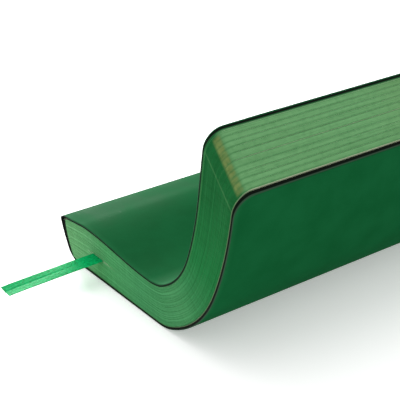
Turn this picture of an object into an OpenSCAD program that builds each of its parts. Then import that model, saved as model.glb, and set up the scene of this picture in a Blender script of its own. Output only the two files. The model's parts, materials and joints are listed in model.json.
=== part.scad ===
// Soft-cover notebook that lies on its back cover, with its fore-edge part bent up.
// X runs from the spine to the fore-edge, Y along the spine from foot to head, Z up.

/* [Book] */
// Height of the book, along its spine
book_h = 210; // [180:5:240]
// Width of the back cover along its outside face
cover_w = 136.5; // [134:0.5:138]
// Thickness of the book at its spine
spine_t = 16.6; // [16.2:0.1:17]
// Thickness at the swell beside the spine
swell_t = 17.7; // [16.8:0.1:18.1]
// Thickness where the bend squeezes the pages
bend_t = 14.3; // [14:0.1:15.6]
// Thickness of the standing part above the bend
wall_t = 14.9; // [14.5:0.1:16.6]
// Thickness at the fore-edge
fore_t = 16.7; // [15.6:0.1:18]
// How far the front cover runs past the back cover at the fore-edge
fore_shift = 12.8; // [10:0.2:15]
// Radius of the rounded fore-edge corners
corner_r = 6; // [4:0.5:9]

/* [Bend] */
// Length of the underside that lies flat
flat_len = 60; // [57:1:61]
// Length of the short curve that lifts off the flat
toe_len = 3; // [2:0.5:6]
// Turn of that short curve, in degrees
toe_turn = 18; // [12:1:21]
// Length of the main bend
bend_len = 36.8; // [34:0.2:40]
// Turn of the main bend, in degrees
bend_turn = 44; // [38:0.5:46]
// Length over which the bend dies away
ease_len = 27; // [20:1:32]
// Turn over that length, in degrees
ease_turn = 13.5; // [8:0.5:16]
// Length to each side over which the pages smooth the bend's angles
page_spread = 8; // [6:1:10]
// Lean of the spine, in degrees
spine_lean = 22; // [15:0.5:26]
// Length over which the lean dies away
lean_len = 8; // [6:0.5:12]
// Outward bow of the spine at half its thickness
spine_bow = 0.8; // [0:0.1:1.2]
// Radius of the spine edge at the front cover
front_edge_r = 1.5; // [1.2:0.1:2]
// Radius of the spine edge at the back cover
back_edge_r = 4; // [3:0.5:5]

/* [Cover and pages] */
// Thickness of the cover skin
skin_t = 0.45; // [0.4:0.05:0.6]
// Thickness of the flexible board under the skin
board_t = 0.6; // [0.4:0.05:0.8]
// Thickness of a pasted endpaper
paste_t = 0.15; // [0.1:0.05:0.2]
// Thickness of a flyleaf
leaf_t = 0.15; // [0.1:0.05:0.2]
// Thickness of the gauze and glue on the folds
lining_t = 0.4; // [0.3:0.05:0.5]
// Clearance between two pieces that open apart
gap = 0.15; // [0.1:0.05:0.2]
// Opening between the two halves of the block, where the ribbon lies
ribbon_gap = 0.5; // [0.4:0.05:0.6]
// Diameter of the sewing thread
thread_d = 0.3; // [0.2:0.05:0.35]
// Width of the ribbon
ribbon_w = 7; // [6:0.5:7]
// Thickness of the ribbon
ribbon_t = 0.3; // [0.2:0.05:0.3]

/* [Hidden] */

skin_colour = [0.03, 0.33, 0.16];
board_colour = [0.05, 0.06, 0.05];
page_colour = [0.33, 0.6, 0.3];
paper_colour = [0.86, 0.88, 0.78];
ribbon_colour = [0.02, 0.66, 0.2];

// Signatures: numbered from the front cover, half of them in front of the ribbon
sig_count = 10;
half_count = sig_count / 2;
cover_t = skin_t + board_t + paste_t;
sig_t = (spine_t - 2 * (cover_t + gap + leaf_t) - ribbon_gap) / sig_count;

// Depths from the outside of the back cover, as they are at the spine
rear_from = cover_t + gap + leaf_t;
rear_to = rear_from + half_count * sig_t;
front_from = rear_to + ribbon_gap;
front_to = front_from + half_count * sig_t;
middle = (rear_to + front_from) / 2;

// Where the covers turn on the spine, and where their boards begin
front_hinge_u = 2.2;
groove_u = 4.2;
// Angle round the rear spine edge at which the back cover begins
back_split = 45;

// Stations along the back cover, and the finer walk that places them
pitch = 3;
fine = 0.5;
lead = -6;
far_u = 159;
toe_end = flat_len + toe_len;
bend_end = toe_end + bend_len;
ease_end = bend_end + ease_len;
heading_at = [
    [flat_len, 0],
    [toe_end, toe_turn],
    [bend_end, toe_turn + bend_turn],
    [ease_end, toe_turn + bend_turn + ease_turn],
    [far_u, toe_turn + bend_turn + ease_turn + 1]
];
swell_u = 13;
squeeze_u = 54;
wall_u = 62.5;

function ease(t) = let (c = max(0, min(1, t))) c * c * (3 - 2 * c);
function between(u, u0, u1, a, b) = a + (b - a) * ease((u - u0) / (u1 - u0));
function heading(u) = lookup(u, heading_at);
function page_heading(u) =
    let (v = [for (k = [-1 : 0.5 : 1]) heading(u + k * page_spread)])
    (v[0] + v[1] + v[2] + v[3] + v[4]) / 5;
function thick(u) =
    u < swell_u ? between(u, 0, swell_u, spine_t, swell_t) :
    u < squeeze_u ? between(u, swell_u, squeeze_u, swell_t, bend_t) :
    u < wall_u ? between(u, squeeze_u, wall_u, bend_t, wall_t) :
    between(u, wall_u, cover_w + fore_shift, wall_t, fore_t);
function lean(u) = spine_lean * pow(max(0, min(1, 1 - u / lean_len)), 2);

walk = [
    for (
        u = lead, x = lead, z = 0;
        u <= far_u;
        x = x + fine * cos(heading(u + fine / 2)),
        z = z + fine * sin(heading(u + fine / 2)),
        u = u + fine
    ) [u, x, z]
];
walk_x = [for (w = walk) [w[0], w[1]]];
walk_z = [for (w = walk) [w[0], w[2]]];
stations = [for (u = [lead : pitch : far_u]) u];
base_x = [for (u = stations) [u, lookup(u, walk_x)]];
base_z = [for (u = stations) [u, lookup(u, walk_z)]];
rise_x = [for (u = stations) [u, -thick(u) / spine_t * sin(page_heading(u) + lean(u))]];
rise_z = [for (u = stations) [u, thick(u) / spine_t * cos(page_heading(u) + lean(u))]];

// A place in the bent book: u along the back cover, d in from its outside face
function spot(u, d) = [
    lookup(u, base_x) + d * lookup(u, rise_x),
    lookup(u, base_z) + d * lookup(u, rise_z)
];
function bow(d) = spine_bow * (1 - pow(2 * d / spine_t - 1, 2));
function fore_edge(d) = cover_w + fore_shift * d / spine_t;

// The spine's round edges, a distance in from the outside of the skin
function front_edge(a, inset) = [
    front_edge_r + (front_edge_r - inset) * cos(a),
    spine_t - front_edge_r + (front_edge_r - inset) * sin(a)
];
function back_edge(a, inset) = [
    back_edge_r + (back_edge_r - inset) * cos(a),
    back_edge_r + (back_edge_r - inset) * sin(a)
];
function bowed(q) = spot(q[0] - bow(q[1]), q[1]);
function reach(r, inset, drop) = r - sqrt(max(0, pow(r - inset, 2) - drop * drop));
function spread(d0, d1) = [for (k = [0 : 0.25 : 1]) d0 + k * (d1 - d0)];
function from_spine(d, inset) =
    (d < back_edge_r ? reach(back_edge_r, inset, back_edge_r - d) :
     d > spine_t - front_edge_r ? reach(front_edge_r, inset, d - spine_t + front_edge_r) :
     inset) - bow(d);

// A layer between two depths, from station a0 or a1 to the fore-edge
function inner_stations(a, b) = [for (u = stations) if (u > a + 0.2 && u < b - 0.2) u];
function side(d, a, b) = [
    spot(a, d),
    for (u = inner_stations(a, b)) spot(u, d),
    spot(b, d)
];
function flipped(v) = [for (i = [len(v) - 1 : -1 : 0]) v[i]];
function layer(d0, d1, a0, a1) = concat(
    side(d0, a0, fore_edge(d0)),
    flipped(side(d1, a1, fore_edge(d1)))
);

block_inset = skin_t + lining_t;
// The round fold of a signature between two depths
function fold(d0, d1) = let (
    mid = (d0 + d1) / 2,
    half = (d1 - d0) / 2,
    u0 = from_spine(mid, block_inset)
) [for (a = [60 : -30 : -60]) spot(u0 + half * (1 - cos(a)), mid + half * sin(a))];
function folded_layer(d0, d1) = let (
    u0 = from_spine((d0 + d1) / 2, block_inset) + (d1 - d0) / 2
) concat(layer(d0, d1, u0, u0), fold(d0, d1));

// The book's middle, from the spine's furthest point to the standing part's
spine_x = min([for (a = [90 : 10 : 180]) bowed(front_edge(a, 0))[0]]);
standing_x = max([for (u = [0 : pitch : cover_w]) spot(u, 0)[0], spot(cover_w, 0)[0]]);
mid_x = (spine_x + standing_x) / 2;

module along_spine(outline, h) {
    translate([-mid_x, 0, 0])
        rotate([90, 0, 0])
            linear_extrude(height = h, center = true)
                polygon(outline);
}

// The cutter that rounds a fore-edge corner, square to the pages' slant
module corner_cutter() {
    low = spot(cover_w, 0);
    high = spot(cover_w + fore_shift, spine_t);
    slant = atan2(high[1] - low[1], high[0] - low[0]);
    across = norm(high - low);
    foot_r = corner_r * cos(heading(cover_w) + 90 - slant);
    spare = 2;
    translate([low[0] - mid_x, -book_h / 2, low[1]])
        rotate([0, 90 - slant, 0])
            translate([0, 0, -spare])
                linear_extrude(height = across + 2 * spare)
                    polygon(concat(
                        [for (a = [0 : 10 : 90])
                            [foot_r * (cos(a) - 1), corner_r * (1 - sin(a))]],
                        [[-foot_r, -spare], [spare, -spare], [spare, corner_r]]
                    ));
}

module rounded_layer(outline) {
    difference() {
        along_spine(outline, book_h);
        corner_cutter();
        mirror([0, 1, 0]) corner_cutter();
    }
}

module front_cover_skin() {
    color(skin_colour)
        rounded_layer(layer(spine_t - skin_t, spine_t, front_hinge_u, front_hinge_u));
}

module front_cover_board() {
    color(board_colour)
        rounded_layer(layer(spine_t - skin_t - board_t, spine_t - skin_t, groove_u, groove_u));
}

module front_pastedown() {
    color(page_colour)
        rounded_layer(layer(spine_t - cover_t, spine_t - cover_t + paste_t, groove_u, groove_u));
}

module back_cover_skin() {
    edge = [for (a = [180 + back_split : 15 : 270]) a];
    inside = concat(
        [for (a = edge) bowed(back_edge(a, skin_t))],
        side(skin_t, back_edge_r + 0.3, fore_edge(skin_t))
    );
    outside = concat(
        [for (a = edge) bowed(back_edge(a, 0))],
        side(0, back_edge_r + 0.3, fore_edge(0))
    );
    color(skin_colour)
        rounded_layer(concat(outside, flipped(inside)));
}

module back_cover_board() {
    color(board_colour)
        rounded_layer(layer(skin_t, skin_t + board_t, groove_u, groove_u));
}

module back_pastedown() {
    color(page_colour)
        rounded_layer(layer(skin_t + board_t, cover_t, groove_u, groove_u));
}

module front_spine_skin() {
    rows = spread(spine_t - front_edge_r, middle + gap / 2);
    arc = [for (a = [90 : 15 : 165]) a];
    outside = concat(
        [spot(front_hinge_u - gap, spine_t)],
        [for (a = arc) bowed(front_edge(a, 0))],
        [for (d = rows) bowed([0, d])]
    );
    inside = concat(
        [spot(front_hinge_u - gap, spine_t - skin_t)],
        [for (a = arc) bowed(front_edge(a, skin_t))],
        [for (d = rows) bowed([skin_t, d])]
    );
    color(skin_colour)
        along_spine(concat(outside, flipped(inside)), book_h);
}

module rear_spine_skin() {
    split = 180 + back_split - 2;
    rows = spread(middle - gap / 2, back_edge_r);
    arc = [195, 210, split];
    outside = concat(
        [for (d = rows) bowed([0, d])],
        [for (a = arc) bowed(back_edge(a, 0))]
    );
    inside = concat(
        [for (d = rows) bowed([skin_t, d])],
        [for (a = arc) bowed(back_edge(a, skin_t))]
    );
    color(skin_colour)
        along_spine(concat(outside, flipped(inside)), book_h);
}

// A strip of gauze on the signatures' folds, with a film of glue on each face
glue_t = 0.05;
module spine_lining(d0, d1) {
    depths = spread(d0, d1);
    outside = [for (d = depths) spot(from_spine(d, skin_t + glue_t), d)];
    inside = [for (d = depths) spot(from_spine(d, block_inset - glue_t), d)];
    along_spine(concat(outside, flipped(inside)), book_h - 4);
}

module front_spine_lining() {
    color(paper_colour)
        spine_lining(front_from, spine_t - front_edge_r - 0.5);
}

module rear_spine_lining() {
    color(paper_colour)
        spine_lining(back_edge_r, rear_to);
}

module front_flyleaf() {
    u0 = from_spine(front_to, block_inset) + 0.5;
    color(page_colour)
        rounded_layer(layer(front_to, front_to + leaf_t, u0, u0));
}

module back_flyleaf() {
    u0 = from_spine(rear_from, block_inset) + 0.5;
    color(page_colour)
        rounded_layer(layer(rear_from - leaf_t, rear_from, u0, u0));
}

function sig_from(i) =
    i <= half_count ? front_to - i * sig_t : rear_to - (i - half_count) * sig_t;
function sig_name(i) = str("signature_", i < 10 ? "0" : "", i);

// The centre of a signature's fold, where its thread lies
slit = 0.02;
function fold_centre(i) = let (d = sig_from(i) + sig_t / 2)
    [from_spine(d, block_inset) + sig_t / 2 + thread_d / 2, d];

module signature(i) {
    centre = fold_centre(i);
    half = thread_d / 2 + slit;
    color(page_colour)
        difference() {
            rounded_layer(folded_layer(sig_from(i), sig_from(i) + sig_t));
            along_spine([
                for (q = [[-half, -half], [half, -half], [half, half], [-half, half]])
                    spot(centre[0] + q[0], centre[1] + q[1])
            ], book_h + 2);
        }
}

// Five stitches lie inside each fold, between the holes the thread passes through
stitch_count = 5;
stitch_len = 34;
stitch_step = 40;
module stitches(i) {
    centre = fold_centre(i);
    p = spot(centre[0], centre[1]);
    for (k = [0 : stitch_count - 1])
        translate([p[0] - mid_x, (k - (stitch_count - 1) / 2) * stitch_step, p[1]])
            rotate([90, 0, 0])
                cylinder(h = stitch_len, d = thread_d - slit, center = true, $fn = 16);
}

module front_sewing_thread() {
    color(paper_colour)
        for (i = [1 : half_count]) stitches(i);
}

module rear_sewing_thread() {
    color(paper_colour)
        for (i = [half_count + 1 : sig_count]) stitches(i);
}

// The ribbon's free end: its middle line, from inside the block to the cut end
ribbon_route = [
    [-28, -97, 8.7], [-28, -100, 8.7], [-28, -103, 8.7], [-28, -106, 8.7],
    [-28, -109, 8.68], [-28, -112, 8.65], [-28, -115, 8.6], [-28, -118, 8.52],
    [-28, -121, 8.45], [-28, -124, 8.35], [-28, -127, 8.25], [-28, -130, 8.12],
    [-28, -133, 8], [-28, -136, 7.87], [-28, -139.5, 7.72]
];
ribbon_tilt = -2;
head_tuck = 4;
ribbon_sides = 8;

module ribbon_marker() {
    low = rear_to + 0.02;
    strip_end = ribbon_route[0];
    head_x = from_spine(middle, block_inset) + ribbon_w / 2 + 1 - mid_x;
    head_y = book_h / 2 - head_tuck;
    color(ribbon_colour)
        intersection() {
            along_spine(
                layer(low, low + ribbon_t, from_spine(low, block_inset), from_spine(low, block_inset)),
                book_h
            );
            linear_extrude(height = 4 * spine_t)
                polygon([
                    [strip_end[0] - ribbon_w / 2, strip_end[1]],
                    [strip_end[0] + ribbon_w / 2, strip_end[1]],
                    [head_x + ribbon_w / 2, head_y],
                    [head_x - ribbon_w / 2, head_y]
                ]);
        }
}

// A flat tube swept along a route, closed at both ends
module flat_tube(route, w, t, tilt) {
    n = ribbon_sides;
    rings = len(route);
    points = [
        for (p = route, k = [0 : n - 1])
            let (a = 360 * k / n, x = w / 2 * cos(a), z = t / 2 * sin(a))
            [p[0] + x * cos(tilt) - z * sin(tilt), p[1], p[2] + x * sin(tilt) + z * cos(tilt)]
    ];
    walls = [
        for (r = [0 : rings - 2], k = [0 : n - 1])
            let (k2 = (k + 1) % n)
            [r * n + k, r * n + k2, (r + 1) * n + k2, (r + 1) * n + k]
    ];
    ends = [
        [for (k = [n - 1 : -1 : 0]) k],
        [for (k = [0 : n - 1]) (rings - 1) * n + k]
    ];
    polyhedron(points, concat(walls, ends), convexity = 4);
}

module ribbon_tail() {
    color(ribbon_colour)
        flat_tube(ribbon_route, ribbon_w, ribbon_t, ribbon_tilt);
}

front_cover_skin();
front_cover_board();
front_pastedown();
front_spine_skin();
rear_spine_skin();
back_cover_skin();
back_cover_board();
back_pastedown();
front_spine_lining();
rear_spine_lining();
front_flyleaf();
back_flyleaf();
for (i = [1 : sig_count])
    signature(i);
front_sewing_thread();
rear_sewing_thread();
ribbon_marker();
ribbon_tail();
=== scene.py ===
"""Looks of a green soft-cover notebook whose fore-edge part is bent up.

Sizes in the classes are in millimetres and degrees; the finished meshes are in metres.
"""

import json
import logging
import math
from dataclasses import dataclass, field
from enum import Enum
from typing import Callable, Union

import bpy
import numpy as np
from mathutils import Matrix, Vector


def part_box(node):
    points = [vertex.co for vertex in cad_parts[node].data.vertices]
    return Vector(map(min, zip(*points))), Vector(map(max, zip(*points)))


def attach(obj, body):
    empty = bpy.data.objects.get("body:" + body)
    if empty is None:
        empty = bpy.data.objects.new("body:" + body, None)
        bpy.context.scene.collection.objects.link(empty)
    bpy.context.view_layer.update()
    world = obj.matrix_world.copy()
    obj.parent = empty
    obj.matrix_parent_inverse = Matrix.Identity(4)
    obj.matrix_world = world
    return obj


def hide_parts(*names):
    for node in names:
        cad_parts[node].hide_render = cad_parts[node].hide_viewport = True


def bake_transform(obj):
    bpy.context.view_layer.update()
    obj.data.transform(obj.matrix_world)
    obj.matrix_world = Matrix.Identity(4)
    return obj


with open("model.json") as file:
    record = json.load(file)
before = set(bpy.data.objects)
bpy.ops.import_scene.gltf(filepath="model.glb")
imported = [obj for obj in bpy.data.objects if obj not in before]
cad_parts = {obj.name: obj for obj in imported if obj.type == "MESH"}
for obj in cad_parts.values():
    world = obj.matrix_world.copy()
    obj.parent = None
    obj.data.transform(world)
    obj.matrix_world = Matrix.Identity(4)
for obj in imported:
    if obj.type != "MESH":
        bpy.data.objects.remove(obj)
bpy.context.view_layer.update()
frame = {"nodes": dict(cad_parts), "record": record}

MM = 0.001
SMOOTH_ANGLE = math.radians(35)
SEED = 7

log = logging.getLogger("notebook")

Array = np.ndarray
Piece = bpy.types.Object
Material = bpy.types.Material
Tree = bpy.types.NodeTree
Node = bpy.types.Node
Socket = bpy.types.NodeSocket
Colour = tuple[float, float, float]
Number = Union[float, Array]
Feed = Union[float, Colour, Socket]
Path = tuple[Array, Array]
Section = Callable[[Array, Array], Path]


# ---------------------------------------------------------------- the book's shape


def ease(share: Number) -> Number:
    """Smooth step from 0 to 1."""
    part = np.clip(share, 0.0, 1.0)
    return part * part * (3 - 2 * part)


@dataclass
class BookShape:
    """The bent book's section: u runs along the back cover, d in from its outside."""

    height: float = 210.0
    cover_w: float = 136.5
    spine_t: float = 16.6
    swell_t: float = 17.7
    bend_t: float = 14.3
    wall_t: float = 14.9
    fore_t: float = 16.7
    fore_shift: float = 12.8
    corner_r: float = 6.0
    flat_len: float = 60.0
    toe_len: float = 3.0
    toe_turn: float = 18.0
    bend_len: float = 36.8
    bend_turn: float = 44.0
    ease_len: float = 27.0
    ease_turn: float = 13.5
    page_spread: float = 8.0
    cover_spread: float = 2.5
    spine_lean: float = 22.0
    lean_len: float = 8.0
    spine_bow: float = 0.8
    front_edge_r: float = 1.5
    back_edge_r: float = 4.0
    skin_t: float = 0.45
    board_t: float = 0.6
    paste_t: float = 0.15
    leaf_t: float = 0.15
    lining_t: float = 0.4
    gap: float = 0.15
    ribbon_gap: float = 0.5
    swell_u: float = 13.0
    squeeze_u: float = 54.0
    wall_u: float = 62.5
    far_u: float = 159.0
    lead: float = -6.0
    walk_step: float = 0.25
    gatherings: int = 10
    mid_x: float = field(init=False, default=0.0)
    walk: dict[str, Array] = field(init=False, default_factory=dict)

    def __post_init__(self) -> None:
        """Walks along the back cover once and keeps where each step lies."""
        u = np.arange(self.lead, self.far_u + self.walk_step, self.walk_step)
        turn = np.radians(self.heading(u[:-1] + self.walk_step / 2, self.cover_spread))
        page = np.radians(self.heading(u, self.page_spread) + self.lean(u))
        share = self.thick(u) / self.spine_t
        self.walk = {
            "u": u,
            "x": self.lead + np.concatenate(([0.0], np.cumsum(self.walk_step * np.cos(turn)))),
            "z": np.concatenate(([0.0], np.cumsum(self.walk_step * np.sin(turn)))),
            "rise_x": -share * np.sin(page),
            "rise_z": share * np.cos(page),
        }
        arc = np.radians(np.arange(90, 181, 10))
        edge = self.bowed(
            self.front_edge_r * (1 + np.cos(arc)),
            self.spine_t - self.front_edge_r * (1 - np.sin(arc)),
        )
        self.mid_x = float(edge[0].min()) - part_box("front_spine_skin")[0][0] / MM

    @property
    def cover_t(self) -> float:
        """Thickness of a whole cover."""
        return self.skin_t + self.board_t + self.paste_t

    @property
    def block_inset(self) -> float:
        """How far the signatures' folds lie in from the spine's outside."""
        return self.skin_t + self.lining_t

    @property
    def gathering_t(self) -> float:
        """Thickness of one signature at the spine."""
        ends = 2 * (self.cover_t + self.gap + self.leaf_t)
        return (self.spine_t - ends - self.ribbon_gap) / self.gatherings

    @property
    def rear_from(self) -> float:
        """Depth at which the rear half of the block begins."""
        return self.cover_t + self.gap + self.leaf_t

    @property
    def rear_to(self) -> float:
        """Depth at which the rear half of the block ends."""
        return self.rear_from + self.gatherings / 2 * self.gathering_t

    @property
    def front_to(self) -> float:
        """Depth at which the front half of the block ends."""
        return self.spine_t - self.rear_from

    @property
    def middle(self) -> float:
        """Depth of the opening between the two halves, where the ribbon lies."""
        return self.rear_to + self.ribbon_gap / 2

    def heading(self, u: Array, spread: float) -> Array:
        """Angle of the bend at u, averaged over a spread to each side.

        Args:
            u: distances along the back cover.
            spread: length to each side over which the angle is averaged.
        Returns:
            Angles in degrees.
        """
        toe_end = self.flat_len + self.toe_len
        bend_end = toe_end + self.bend_len
        stops = (self.flat_len, toe_end, bend_end, bend_end + self.ease_len, self.far_u)
        whole = self.toe_turn + self.bend_turn
        turns = (0.0, self.toe_turn, whole, whole + self.ease_turn, whole + self.ease_turn + 1)
        shares = (-1.0, -0.5, 0.0, 0.5, 1.0)
        return sum(np.interp(u + k * spread, stops, turns) for k in shares) / len(shares)

    def thick(self, u: Array) -> Array:
        """Thickness of the closed book at u."""
        stops = (0.0, self.swell_u, self.squeeze_u, self.wall_u, self.cover_w + self.fore_shift)
        sizes = (self.spine_t, self.swell_t, self.bend_t, self.wall_t, self.fore_t)
        total = np.full_like(u, sizes[0])
        for k in range(len(stops) - 1):
            part = (u - stops[k]) / (stops[k + 1] - stops[k])
            total = total + (sizes[k + 1] - sizes[k]) * ease(part)
        return total

    def lean(self, u: Array) -> Array:
        """Lean of the spine at u, in degrees."""
        return self.spine_lean * np.clip(1 - u / self.lean_len, 0, 1) ** 2

    def bow(self, d: Number) -> Number:
        """Outward bow of the spine at depth d."""
        return self.spine_bow * (1 - (2 * d / self.spine_t - 1) ** 2)

    def spot(self, u: Array, d: Array) -> Path:
        """Where the place (u, d) of the flat book lies in the bent one.

        Args:
            u: distances along the back cover.
            d: depths in from the back cover's outside.
        Returns:
            The x from the spine's lower edge, and the z.
        """
        at = {k: np.interp(u, self.walk["u"], v) for k, v in self.walk.items()}
        return at["x"] + d * at["rise_x"], at["z"] + d * at["rise_z"]

    def bowed(self, u: Array, d: Array) -> Path:
        """A place on the spine, moved out by the spine's bow."""
        return self.spot(u - self.bow(d), d)

    def slid(self, v: Array, d: Array) -> Array:
        """Slides a place at v towards the fore-edge, as deeper layers run further."""
        start = self.flat_len / 2
        free = self.cover_w - self.corner_r - start
        return v + self.fore_shift * d / self.spine_t * ease((v - start) / free)

    def fold_u(self, d: float) -> float:
        """Where the fold of a signature at depth d begins."""
        drop = d - (self.spine_t - self.front_edge_r)
        low = self.back_edge_r - d
        inset = self.block_inset
        if drop > 0:
            reach = self.front_edge_r - inset
            inset = self.front_edge_r - math.sqrt(max(0.0, reach**2 - drop**2))
        if low > 0:
            reach = self.back_edge_r - inset
            inset = self.back_edge_r - math.sqrt(max(0.0, reach**2 - low**2))
        return inset - float(self.bow(d))


# ---------------------------------------------------------------- modelling


def deselect() -> None:
    """Leaves nothing selected."""
    bpy.ops.object.select_all(action="DESELECT")


def cell_slab(name: str, columns: int, rows: int, levels: int) -> Piece:
    """Models a closed slab of unit cells, whose points lie at whole numbers.

    Args:
        name: name of the piece.
        columns: number of points along X.
        rows: number of points along Y.
        levels: number of points along Z.
    Returns:
        The slab's object, at the origin.
    """
    deselect()
    bpy.ops.mesh.primitive_grid_add(x_subdivisions=columns - 1, y_subdivisions=rows - 1, size=1)
    slab = bpy.context.object
    slab.name = name
    slab.data.name = name
    slab.scale = (columns - 1, rows - 1, 1)
    slab.location = ((columns - 1) / 2, (rows - 1) / 2, 0)
    bpy.ops.object.transform_apply(location=True, rotation=True, scale=True)
    bpy.ops.object.mode_set(mode="EDIT")
    bpy.ops.mesh.select_all(action="SELECT")
    for _ in range(levels - 1):
        bpy.ops.mesh.extrude_region_move(TRANSFORM_OT_translate={"value": (0, 0, 1)})
    bpy.ops.mesh.select_all(action="SELECT")
    bpy.ops.mesh.normals_make_consistent(inside=False)
    bpy.ops.object.mode_set(mode="OBJECT")
    return slab


def points_of(piece: Piece) -> Array:
    """The piece's points, one row each."""
    flat = np.empty(len(piece.data.vertices) * 3)
    piece.data.vertices.foreach_get("co", flat)
    return flat.reshape(-1, 3)


def move_points(piece: Piece, points: Array) -> None:
    """Moves the piece's points, given in metres, and refreshes its mesh."""
    piece.data.vertices.foreach_set("co", points.ravel())
    piece.data.update()


def keep_vector(piece: Piece, name: str, values: Array) -> None:
    """Keeps three numbers on each point for the materials to read."""
    kept = piece.data.attributes.new(name, "FLOAT_VECTOR", "POINT")
    kept.data.foreach_set("vector", np.ascontiguousarray(values, dtype=float).ravel())


def finish_mesh(piece: Piece) -> None:
    """Turns the faces outwards and smooths the shading of gentle edges."""
    deselect()
    piece.select_set(True)
    bpy.context.view_layer.objects.active = piece
    bpy.ops.object.mode_set(mode="EDIT")
    bpy.ops.mesh.select_all(action="SELECT")
    bpy.ops.mesh.normals_make_consistent(inside=False)
    bpy.ops.object.mode_set(mode="OBJECT")
    bpy.ops.object.shade_smooth_by_angle(angle=SMOOTH_ANGLE)
    deselect()


class Side(Enum):
    """Which side of a layer a face is on."""

    LOW = 0
    HIGH = 1
    EDGE = 2


def hand_over(piece: Piece, slot: str, *nodes: str) -> None:
    """Hides the nodes that a finished piece replaces, and reports the piece.

    Args:
        piece: the piece.
        slot: its material slot in the record; not used.
        nodes: the nodes that it replaces.
    """
    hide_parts(*nodes)
    log.info("built %s", piece.name)


def sliding_section(shape: BookShape) -> Section:
    """The path of a flat sheet, whose depth is its own level."""
    return lambda v, d: (shape.slid(v, d), d)


def spine_section(shape: BookShape) -> Section:
    """The path of a strip up the bowed spine, whose inset is its own level."""
    return lambda v, inset: (inset - shape.bow(v), v)


@dataclass
class Layer:
    """One sheet or bundle of sheets, modelled flat and then bent to the book.

    The columns run from the spine to the fore-edge, the rows along the height, and
    the levels through the thickness. A corner angle above 0 marks the columns of the
    rounded corners.
    """

    name: str
    shape: BookShape
    columns: Array
    corner: Array
    levels: Array
    section: Section
    rows: int = 17
    insets: Array = field(default_factory=lambda: np.zeros(1))
    trim: float = 0.0
    relief: Union[Callable[[Array, Array, Array], Array], None] = None

    def build(self) -> Piece:
        """Models the layer as a flat slab, rounds its corners and bends it.

        Returns:
            The finished piece, with the flat place of each point kept as "flat" and
            its corner angle, its side along the height and its level as "rim".
        """
        piece = cell_slab(self.name, len(self.columns), self.rows, len(self.levels))
        i, j, k = np.rint(points_of(piece)).astype(int).T
        half = self.shape.height / 2 - self.trim
        reach = half - self.shape.corner_r * (1 - np.cos(self.corner[i]))
        y = (2 * j / (self.rows - 1) - 1) * reach
        v = self.columns[i].astype(float)
        inset = self.insets[k % len(self.insets)]
        if self.relief is not None:
            inset = inset + self.relief(k, v, y)
        beside = (j == 0) | (j == self.rows - 1)
        at_fore = i == len(self.columns) - 1
        v = v - np.where(beside | at_fore, inset * np.sin(self.corner[i]), 0)
        y = y - np.where(beside, np.sign(y) * inset * np.cos(self.corner[i]), 0)
        u, d = self.section(v, self.levels[k])
        x, z = self.shape.spot(u, d)
        move_points(piece, np.stack((x - self.shape.mid_x, y, z), axis=1) * MM)
        keep_vector(piece, "flat", np.stack((u, y, d), axis=1))
        rim = np.stack((self.corner[i] / (math.pi / 2), j / (self.rows - 1), k * 1.0), axis=1)
        keep_vector(piece, "rim", rim)
        self.mark_sides(piece, k)
        finish_mesh(piece)
        return piece

    def mark_sides(self, piece: Piece, level: Array) -> None:
        """Gives each face the slot of its side: low, high or edge."""
        for face in piece.data.polygons:
            found = {int(level[n]) for n in face.vertices}
            if len(found) > 1:
                face.material_index = Side.EDGE.value
            else:
                face.material_index = Side.LOW.value if found == {0} else Side.HIGH.value


def stations(
    shape: BookShape, start: float, pitch: float, recess: float = 0.0
) -> Path:
    """Columns from the spine to the fore-edge, with those of the rounded corner.

    Args:
        shape: the book's shape.
        start: where the first column is.
        pitch: about how far apart the columns are.
        recess: how far the layer's fore-edge lies behind the block's.
    Returns:
        The columns, and the corner angle of each.
    """
    straight = shape.cover_w - shape.corner_r - recess
    count = math.ceil((straight - start) / pitch)
    line = np.linspace(start, straight, count + 1)
    angle = np.radians(np.arange(7.5, 91, 7.5))
    columns = np.concatenate((line, straight + shape.corner_r * np.sin(angle)))
    return columns, np.concatenate((np.zeros(len(line)), angle))


# ---------------------------------------------------------------- node work


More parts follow.
